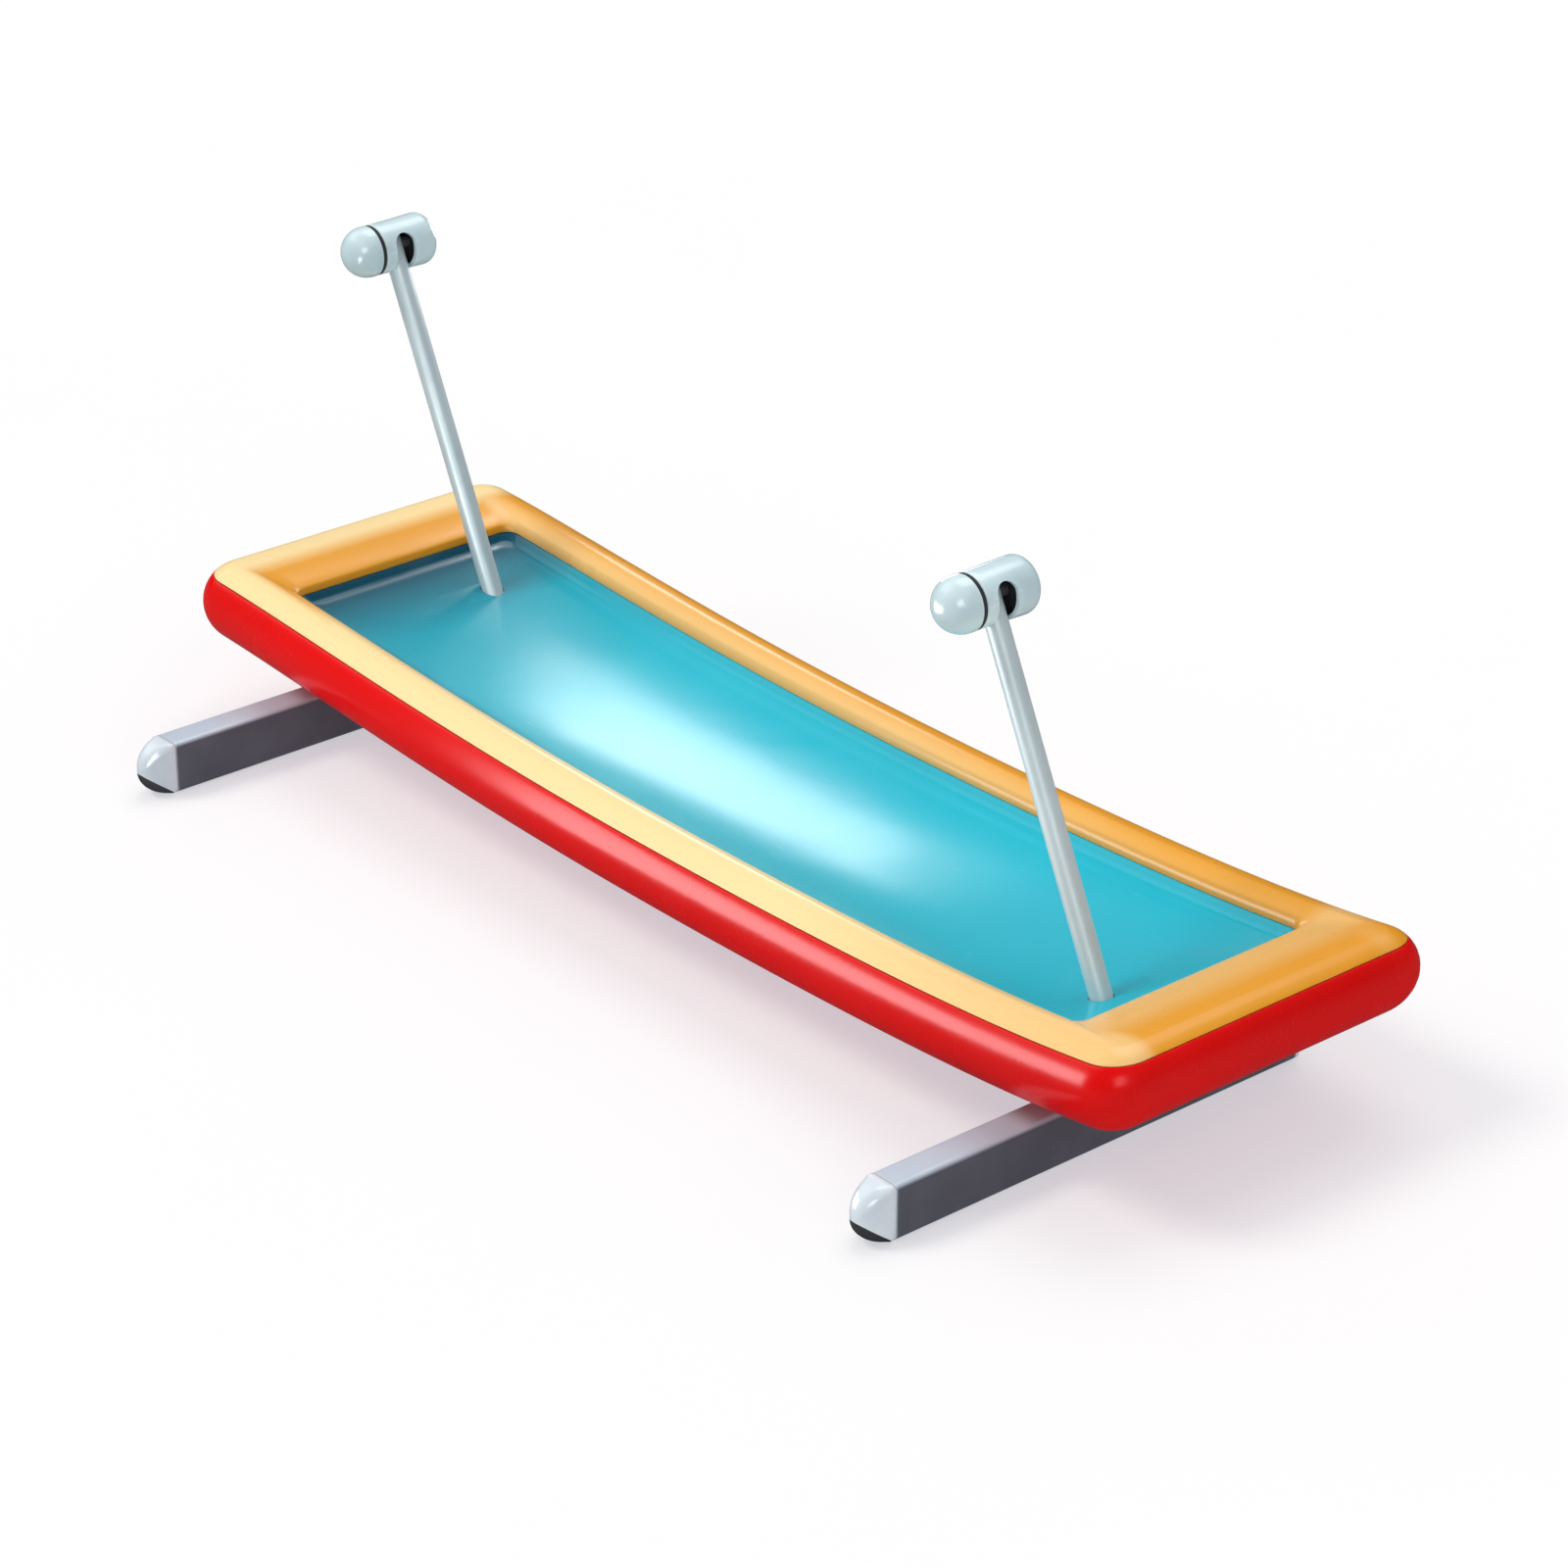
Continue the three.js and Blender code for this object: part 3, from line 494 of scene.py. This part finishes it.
pan_rows = []
for r in spline([(OA + 0.4, OB + 0.4, 18, -7.4), (680.5, 158.8, 18, -10.5), (677, 155.2, 18, -14.2), (673, 151.5, 20, -16.6)], 4)[:-1]:
    pan_rows.append(deck_ring(*r))
for i in range(26):
    t = i / 25
    a = 672 + (380 - 672) * t
    b = 150.6 + (3 - 150.6) * t
    r = min(20 + 60 * t, b - 0.6)
    k = min(1.0, i / 2.5)
    pan_rows.append(deck_ring(a, b, r, 0, zf=lambda x, y, k=k: pan_floor(x, y) * k + (-17.2) * (1 - k)))
under = []
for i in range(12):
    t = i / 11
    a = 380 + (675 - 380) * t
    b = 3 + (154 - 3) * t
    under.append(deck_ring(a, b, min(80 - 60 * t, b - 0.6), 0, zf=lambda x, y: pan_floor(x, y, 4.0)))
under += [deck_ring(690, 167.5, 22, -11.4), deck_ring(706, 181, 26, -11.4), deck_ring(706, 181, 26, -7.4)]
top = [deck_ring(706, 181, 26, -7.4)] + pan_rows
verts_t, faces_t = loft(top, None, "across")
verts_u, faces_u = loft(under, "across", None)
off = len(verts_t)
verts_all = verts_t + verts_u
faces_all = faces_t + [tuple(i + off for i in fc) for fc in faces_u]
pan = make("seat_pan_skin", verts_all, faces_all, M_TEAL, sharp=50)
for side, (hx, hy) in HANDLES.items():
    c = cylinder("cut_" + side, 13.6, -500, -360, 48, M_TEAL)
    place(c, handle_matrix(side))
    boolean(pan, c, sharp=50)
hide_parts("seat_pan_left", "seat_pan_middle", "seat_pan_right")
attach(pan, "deck")

# ---------------------------------------------------------------- handles
lathe_n = 72


def lathe_y(name, profile, mat, n=lathe_n, sharp=35.0):
    """Turned about Y. The profile may start and end on the axis."""
    verts, faces, rows = [], [], []
    for r, y in profile:
        if r < 1e-6:
            rows.append([len(verts)])
            verts.append((0.0, y, 0.0))
        else:
            rows.append(list(range(len(verts), len(verts) + n)))
            verts += circle(r, n, "xz", y)
    pairs = list(zip(rows, rows[1:]))
    if len(rows[0]) > 1 and len(rows[-1]) > 1:
        pairs.append((rows[-1], rows[0]))
    for a, b in pairs:
        for k in range(n):
            l = (k + 1) % n
            if len(a) == 1 and len(b) == 1:
                continue
            if len(a) == 1:
                faces.append((a[0], b[k], b[l]))
            elif len(b) == 1:
                faces.append((a[k], b[0], a[l]))
            else:
                faces.append((a[k], b[k], b[l], a[l]))
    return make(name, verts, faces, mat, sharp=sharp)


def arc_points(cy, ry, rr, t0, t1, n, y_axis=1):
    """Points of an ellipse in (radius, y): t is degrees from the pole."""
    return [(max(0.0, rr * math.sin(math.radians(t))), cy + y_axis * ry * math.cos(math.radians(t))) for t in np.linspace(t0, t1, n)]


def cut_slot(grip):
    """The rod's slot: a wedge round the grip with a round hole at each end."""
    ring_in = [(12.0, -90 + SLOT_SWEEP * k / 24) for k in range(25)]
    ring_out = [(44.0, -90 + SLOT_SWEEP * k / 24) for k in range(25)][::-1]
    outline = [(r * math.cos(math.radians(t)), r * math.sin(math.radians(t))) for r, t in ring_in + ring_out]
    verts = [(x, y, z) for y in (-13.4, 13.4) for x, z in outline]
    n = len(outline)
    faces = [(k, (k + 1) % n, n + (k + 1) % n, n + k) for k in range(n)]
    for k in range(24):
        a, b, c, d = k, k + 1, n - 2 - k, n - 1 - k
        faces += [(a, b, c, d), (n + d, n + c, n + b, n + a)]
    boolean(grip, make("cut_wedge", verts, faces, M_HOLE_SHADE, smooth=False), sharp=40)
    for turn in (0.0, SLOT_SWEEP):
        c = cylinder("cut_end", 13.4, -44, -11, 64, M_HOLE_SHADE)
        place(c, Matrix.Rotation(-math.radians(turn), 4, "Y"))
        boolean(grip, c, sharp=40)


for side, (hx, hy) in HANDLES.items():
    M = handle_matrix(side)
    unit = side + "_grip_unit"
    # rod: a tube with a slightly rounded top, polished; its foot sits in the socket under the pan
    rows = [circle(ROD_R - 1.2, 56, "xy", 15), circle(ROD_R - 0.3, 56, "xy", 14.7), circle(ROD_R, 56, "xy", 13.8)]
    rows += [circle(ROD_R, 56, "xy", z) for z in np.linspace(10, -ROD_L + 1, 22)]
    rows += [circle(ROD_R - 1, 56, "xy", -ROD_L)]
    v, f = loft(rows, "fan", "fan")
    rod = make(side + "_rod_tube", v, f, M_ROD)
    place(rod, M)
    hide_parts(side + "_handle_rod")
    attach(rod, "deck")

    inner = [(0, 44.5), (9, 44.1), (16, 43.0), (22, 40.0), (25.6, 36.0), (GRIP_BORE, 30.5), (GRIP_BORE, 0), (GRIP_BORE, -27.4), (GRIP_BORE + 0.5, -28)]
    profile = inner + [(GRIP_R - 1.3, -28), (GRIP_R - 0.7, -27.8), (GRIP_R - 0.3, -27.2), (GRIP_R - 0.2, -20), (GRIP_R, -8), (GRIP_R + 0.3, 8), (GRIP_R + 0.7, 22), (GRIP_WIDE, 33)]
    profile += [(GRIP_WIDE - 12 + r, y) for r, y in arc_points(36.0, 13.2, 12.0, 86, 8, 14)]
    profile += [(GRIP_WIDE - 14, 49.55), (10, 49.9), (0, 50)]
    grip = lathe_y(side + "_grip_barrel", profile, M_GRIP)
    cut_slot(grip)
    # painted shade: the bore faces get a near-black material that stands in for the shade inside the hole; it also
    # covers the cut edges' inner half
    grip.data.materials.clear()
    grip.data.materials.append(M_GRIP)
    grip.data.materials.append(M_HOLE_SHADE)
    for poly in grip.data.polygons:
        c = poly.center
        rr = math.hypot(c.x, c.z) / MM
        poly.material_index = 1 if rr < GRIP_BORE + 0.3 and c.y / MM < 44.6 else 0
    place(grip, M)
    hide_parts(side + "_grip")
    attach(grip, unit)

    cap_profile = arc_points(-38, -GRIP_R, GRIP_R, 0, 90, 26)
    cap_profile[0] = (0.0, -69.0)
    cap_profile += [(GRIP_R, -33.9), (GRIP_R - 0.5, -33.4), (GRIP_R - 0.6, -32), (GRIP_R - 0.6, -30.2), (GRIP_R - 0.3, -29.1), (GRIP_R - 1.3, -28.5), (GRIP_BORE - 0.4, -28.4), (GRIP_BORE - 0.4, -17.6), (GRIP_BORE - 1.0, -17), (7.4, -17), (7.4, -26), (0, -26)]
    cap = lathe_y(side + "_grip_knob", cap_profile, M_GRIP)
    # painted shade: a thin near-black ring between the knob and the barrel stands in for the shade in the joint
    cap.data.materials.append(M_RUBBER)
    for poly in cap.data.polygons:
        if poly.center.y / MM > -33.8 and math.hypot(poly.center.x, poly.center.z) / MM > GRIP_BORE:
            poly.material_index = 1
    place(cap, M)
    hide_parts(side + "_grip_cap")
    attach(cap, unit)

# ---------------------------------------------------------------- feet
for side, sx in (("left", -1), ("right", 1)):
    out = rounded_rect(FOOT_W, FOOT_H, FOOT_EDGE, 8)
    inn = rounded_rect(FOOT_W - 2 * FOOT_WALL, FOOT_H - 2 * FOOT_WALL, FOOT_EDGE - FOOT_WALL, 8)
    ys = np.concatenate([[FOOT_NEAR, FOOT_NEAR + 1.2, FOOT_NEAR + 3.0], np.linspace(FOOT_NEAR + 12, FOOT_FAR - 12, 22), [FOOT_FAR - 3.0, FOOT_FAR - 1.2, FOOT_FAR]])
    rings = [[(x, y, z + FOOT_H / 2) for x, z in out] for y in ys] + [[(x, y, z + FOOT_H / 2) for x, z in inn] for y in ys[::-1]]
    v, f = loft(rings, torus=True)
    foot = make(side + "_foot_tube", v, f, M_FOOT)
    place(foot, Matrix.Translation((sx * FOOT_X * MM, 0, 0)))
    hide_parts(side + "_foot")
    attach(foot, "floor_frame")

    for end, y0, sy in (("near", FOOT_NEAR - 0.4, 1), ("far", FOOT_FAR + 0.4, -1)):
        rim_y, deep = CAPS[end]
        rows = [[(x, 0.0, z) for x, z in rounded_rect(FOOT_W - 0.8, FOOT_H - 0.8, FOOT_EDGE - 0.4, 10)], [(x, -0.4, z) for x, z in rounded_rect(FOOT_W, FOOT_H, FOOT_EDGE, 10)]]
        for t in [0, 5] + list(np.linspace(11, 88, 20)):
            c, k = math.cos(math.radians(t)), math.sin(math.radians(t))
            w, h = FOOT_W * (0.02 + 0.98 * c), FOOT_H * (0.02 + 0.98 * c)
            r = min(FOOT_EDGE + (w / 2 - FOOT_EDGE) * k**0.6, w / 2 - 0.02)
            rows.append([(x, -rim_y - deep * k, z) for x, z in rounded_rect(w, h, r, 10)])
        v, f = loft(rows, "fan", "fan")
        full = make("dome", v, f, M_CAP, sharp=50)
        shoe = full.copy()
        shoe.data = full.data.copy()
        scene.collection.objects.link(shoe)
        # painted shade: a near-black heel takes everything under a plane that climbs towards the tip, standing in for
        # the shade on the cap's lower side
        ya, za = -0.6 * rim_y, 2 - FOOT_H / 2
        slope = (-2 - za) / (-rim_y - deep - ya)

        def under(name, lift):
            at = lambda y: (y, za + slope * (y - ya) + lift)
            prof = [(4, -90), at(4), at(-90), (-90, -90)]
            v, f = loft([[(-60, y, z) for y, z in prof], [(60, y, z) for y, z in prof]], "fan", "fan")
            return make(name, v, f, M_CAP, smooth=False)

        boolean(full, under("cut", 0.0), sharp=45)
        boolean(shoe, under("cut", -0.55), op="INTERSECT", sharp=45)
        inn2 = rounded_rect(FOOT_W - 6.8, FOOT_H - 6.8, 3.5, 4)
        v, f = loft([[(x, -2.0, z) for x, z in inn2], [(x, 15.0, z) for x, z in inn2]], "fan", "fan")
        plug = make("plug", v, f, M_CAP)
        boolean(full, plug, op="UNION", sharp=45)
        T = Matrix.Translation((sx * FOOT_X * MM, y0 * MM, FOOT_H / 2 * MM))
        if sy < 0:
            T = T @ Matrix.Rotation(math.pi, 4, "Z")
        full.name = f"{side}_foot_dome_{end}"
        shoe.name = f"{side}_foot_heel_{end}"
        place(full, T)
        place(shoe, T)
        shoe.data.materials.clear()
        shoe.data.materials.append(M_RUBBER)
        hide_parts(f"{side}_foot_cap_{end}")
        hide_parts(f"{side}_foot_shoe_{end}")
        for o, sl in ((full, "grey_cap"), (shoe, "black_rubber")):
            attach(o, "floor_frame")

# ---------------------------------------------------------------- CAD nodes that stay: materials and softened edges
KEEP = {}
for name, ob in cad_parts.items():
    if "grip_bush" in name:
        KEEP[name] = M_RUBBER
    elif "spindle" in name:
        KEEP[name] = M_DARK
    elif "bolt" in name or name == "torsion_bar":
        KEEP[name] = M_ZINC
    elif "bush" in name:
        KEEP[name] = M_NYLON
    elif "bump_pad" in name or "rubber_cord" in name:
        KEEP[name] = M_RUBBER
    elif any(k in name for k in ("rail", "cheek", "plate", "spine", "crossmember", "housing", "socket")):
        KEEP[name] = M_DARK
for name, mat in KEEP.items():
    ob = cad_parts[name]
    for s in ob.material_slots:
        s.material = mat
    if not ob.material_slots:
        ob.data.materials.append(mat)
    bev = ob.modifiers.new("edges", "BEVEL")
    bev.width = 0.0005
    bev.segments = 2
    bev.limit_method = "ANGLE"
    bev.angle_limit = math.radians(35)
    bev.harden_normals = False

# ---------------------------------------------------------------- floor, light, camera
def light_path(m, name):
    return m.n("ShaderNodeLightPath").outputs[name]


floor_mat = Mat("studio_floor")
tint = floor_mat.noise(1.3, 3.0, 0.5)
pale = floor_mat.mix(floor_mat.ramp(tint, [(0.3, 0.0), (0.7, 1.0)]), (0.40, 0.39, 0.355), (0.395, 0.385, 0.352))
floor_mat.set(Base_Color=pale, Roughness=0.9, Specular_IOR_Level=0.0)
glow = floor_mat.n("ShaderNodeEmission")
glow.inputs[0].default_value = (0.50, 0.512, 0.555, 1)
glow.inputs[1].default_value = 1.0
both = floor_mat.n("ShaderNodeAddShader")
floor_mat.link(floor_mat.b.outputs[0], both.inputs[0])
floor_mat.link(glow.outputs[0], both.inputs[1])
# in polished surfaces the floor reads dark near the seesaw and light further out to the left
sep = floor_mat.n("ShaderNodeSeparateXYZ")
floor_mat.link(floor_mat.co.outputs["Object"], sep.inputs[0])
out_left = floor_mat.math("ADD", floor_mat.math("MULTIPLY", sep.outputs[0], -0.64), floor_mat.math("MULTIPLY", sep.outputs[1], -0.77))
seen = floor_mat.n("ShaderNodeEmission")
floor_mat.link(floor_mat.ramp(floor_mat.math("MULTIPLY", out_left, 0.5), [(0.10, (0.06, 0.062, 0.07)), (0.42, (0.14, 0.145, 0.15))]), seen.inputs[0])
pick = floor_mat.n("ShaderNodeMixShader")
floor_mat.link(light_path(floor_mat, "Is Glossy Ray"), pick.inputs[0])
floor_mat.link(both.outputs[0], pick.inputs[1])
floor_mat.link(seen.outputs[0], pick.inputs[2])
floor_mat.link(pick.outputs[0], floor_mat.out.inputs[0])
v = [(-20000, -20000, -0.6), (20000, -20000, -0.6), (20000, 20000, -0.6), (-20000, 20000, -0.6)]
floor = make("studio_floor", v, [(0, 1, 2, 3)], floor_mat.m, recalc=False, smooth=False)

world = bpy.data.worlds.new("studio")
scene.world = world
world.use_nodes = True
wt = world.node_tree
wt.nodes.clear()


def wn(kind, **props):
    node = wt.nodes.new(kind)
    for k, val in props.items():
        setattr(node, k, val)
    return node


def blob(direction, inner, outer, colour, strength):
    """A soft round light in the studio's surroundings, seen by polished surfaces only."""
    geo = wn("ShaderNodeTexCoord")
    nrm = wn("ShaderNodeVectorMath", operation="NORMALIZE")
    wt.links.new(geo.outputs["Generated"], nrm.inputs[0])
    dot = wn("ShaderNodeVectorMath", operation="DOT_PRODUCT")
    wt.links.new(nrm.outputs[0], dot.inputs[0])
    dot.inputs[1].default_value = Vector(direction).normalized()
    r = wn("ShaderNodeMapRange", interpolation_type="SMOOTHSTEP")
    r.inputs["From Min"].default_value = math.cos(math.radians(outer))
    r.inputs["From Max"].default_value = math.cos(math.radians(inner))
    wt.links.new(dot.outputs["Value"], r.inputs["Value"])
    mul = wn("ShaderNodeMix", data_type="RGBA")
    wt.links.new(r.outputs[0], mul.inputs[0])
    mul.inputs[6].default_value = (0, 0, 0, 1)
    mul.inputs[7].default_value = tuple(c * strength for c in colour) + (1,)
    return mul.outputs[2]


def add(a, b):
    m = wn("ShaderNodeMix", data_type="RGBA", blend_type="ADD")
    m.inputs[0].default_value = 1.0
    wt.links.new(a, m.inputs[6])
    wt.links.new(b, m.inputs[7])
    return m.outputs[2]


glossy = blob((-0.66, 0.60, 0.46), 6, 24, (1.0, 1.0, 1.0), PAN_GLOSS)
glossy = add(glossy, blob((-0.10, 0.57, 0.82), 8, 30, (0.96, 1.0, 1.0), 0.4))
glossy = add(glossy, blob((-0.69, -0.60, 0.40), 8, 34, (1.0, 0.99, 0.95), 0.2))
glossy = add(glossy, blob((-0.70, -0.22, 0.68), 6, 28, (1.0, 0.99, 0.95), 1.3))
glossy = add(glossy, blob((0.66, -0.60, 0.46), 10, 16, (1.0, 1.0, 1.0), 5.5))
glossy = add(glossy, blob((0.0, 0.0, 1.0), 20, 80, (0.9, 0.95, 1.0), 0.12))
bg_light = wn("ShaderNodeBackground")
bg_light.inputs[0].default_value = (0.97, 0.95, 1.0, 1)
bg_light.inputs[1].default_value = 0.60
bg_seen = wn("ShaderNodeBackground")
wt.links.new(glossy, bg_seen.inputs[0])
bg_seen.inputs[1].default_value = 1.0
ray = wn("ShaderNodeLightPath")
pick_w = wn("ShaderNodeMixShader")
wt.links.new(ray.outputs["Is Glossy Ray"], pick_w.inputs[0])
wt.links.new(bg_light.outputs[0], pick_w.inputs[1])
wt.links.new(bg_seen.outputs[0], pick_w.inputs[2])
backdrop = wn("ShaderNodeBackground")
backdrop.inputs[0].default_value = (0.985, 0.985, 0.99, 1)
pick_c = wn("ShaderNodeMixShader")
wt.links.new(ray.outputs["Is Camera Ray"], pick_c.inputs[0])
wt.links.new(pick_w.outputs[0], pick_c.inputs[1])
wt.links.new(backdrop.outputs[0], pick_c.inputs[2])
w_out = wn("ShaderNodeOutputWorld")
wt.links.new(pick_c.outputs[0], w_out.inputs[0])


def aim(o, loc, target):
    scene.collection.objects.link(o)
    o.location = loc
    o.rotation_euler = (Vector(target) - Vector(loc)).to_track_quat("-Z", "Y").to_euler()
    return o


def sun(name, direction, strength, angle, colour):
    d = bpy.data.lights.new(name, "SUN")
    d.energy = strength
    d.angle = math.radians(angle)
    d.color = colour
    d.specular_factor = 0.35
    return aim(bpy.data.objects.new(name, d), Vector(direction) * 4, (0, 0, 0))


def area(name, loc, target, size, size_y, power, colour):
    d = bpy.data.lights.new(name, "AREA")
    d.shape = "RECTANGLE"
    d.size = size
    d.size_y = size_y
    d.energy = power
    d.color = colour
    o = aim(bpy.data.objects.new(name, d), loc, target)
    o.visible_camera = False
    return o


def card(name, loc, target, size, size_y, radiance, colour):
    """A soft card close to the seesaw, its long side along X, that only shows in the polish."""
    o = area(name, loc, target, size, size_y, radiance * math.pi * size * size_y, colour)
    z = (Vector(loc) - Vector(target)).normalized()
    x = (Vector((1, 0, 0)) - z * z.x).normalized()
    y = z.cross(x)
    o.rotation_euler = Matrix((x, y, z)).transposed().to_euler()
    o.visible_diffuse = False
    return o


key = sun("key_left", (-0.42, -0.50, 0.76), 1.55, 22, (1.0, 0.985, 0.955))
key.visible_glossy = False
sun("top", (-0.26, 0.36, 0.90), 0.95, 40, (0.98, 0.99, 1.0))
fill = sun("fill_right", (0.80, -0.35, 0.45), 0.35, 40, (1.0, 0.99, 0.98))
fill.visible_glossy = False
card("tray_card", (-0.785, 0.5862, 0.6020), (-0.07, -0.0025, 0.1120), 0.42, 0.27, 6.6, (0.98, 1.0, 1.0))
card("hull_card", (-0.26, -0.88, 0.27), (0.38, -0.20, 0.165), 0.82, 0.44, 11.5, (1.0, 0.94, 0.95))

cam_data = bpy.data.cameras.new("camera")
cam_data.lens = 106.81
cam_data.sensor_width = 36.0
cam_data.shift_x = 0.0140
cam_data.shift_y = -0.0147
cam_data.clip_end = 200
cam = bpy.data.objects.new("camera", cam_data)
scene.collection.objects.link(cam)
cam.location = (3.5912, -2.9871, 2.4709)
cam.rotation_euler = (Vector((0, 0, 0.16)) - cam.location).to_track_quat("-Z", "Y").to_euler()
scene.camera = cam
scene.view_settings.view_transform = "Standard"
scene.view_settings.look = "None"
